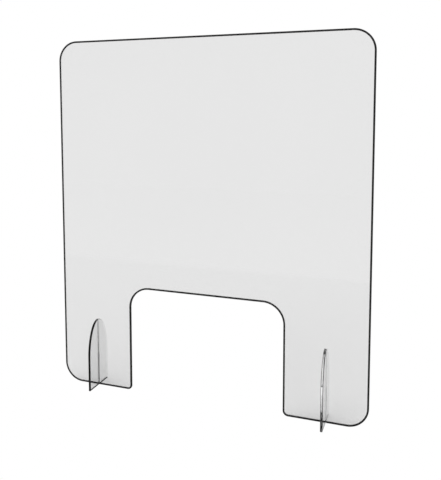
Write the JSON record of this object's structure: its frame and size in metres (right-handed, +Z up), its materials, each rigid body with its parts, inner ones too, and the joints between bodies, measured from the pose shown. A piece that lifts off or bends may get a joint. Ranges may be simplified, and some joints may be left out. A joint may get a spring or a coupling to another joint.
{
  "type": "sneeze guard",
  "caption": "Free-standing clear counter screen with rounded corners, a pass-through at the bottom and slot-in feet.",
  "frame": {"origin": "on the counter, at the middle of the panel's width and thickness", "axes": "+X along the panel's width, +Z up, -Y towards the customer's side; the two sides are alike"},
  "size_m": [0.8, 0.09, 0.9],
  "materials": {
    "clear_acrylic": "clear cast sheet with polished edges"
  },
  "bodies": {
    "right_foot": {"right_foot": "clear_acrylic"},
    "panel": {"shield_panel": "clear_acrylic"},
    "left_foot": {"left_foot": "clear_acrylic"}
  },
  "joints": [
    {"name": "panel_lift", "type": "slide", "parent": "right_foot", "child": "panel", "axis": [0, 0, 1], "range_m": [0, 0.18]},
    {"name": "left_foot_release", "type": "slide", "parent": "panel", "child": "left_foot", "axis": [0, 0, -1], "range_m": [0, 0.18]}
  ],
  "couplings": [
    {"joint": "left_foot_release", "follows": "panel_lift", "ratio": 1}
  ]
}
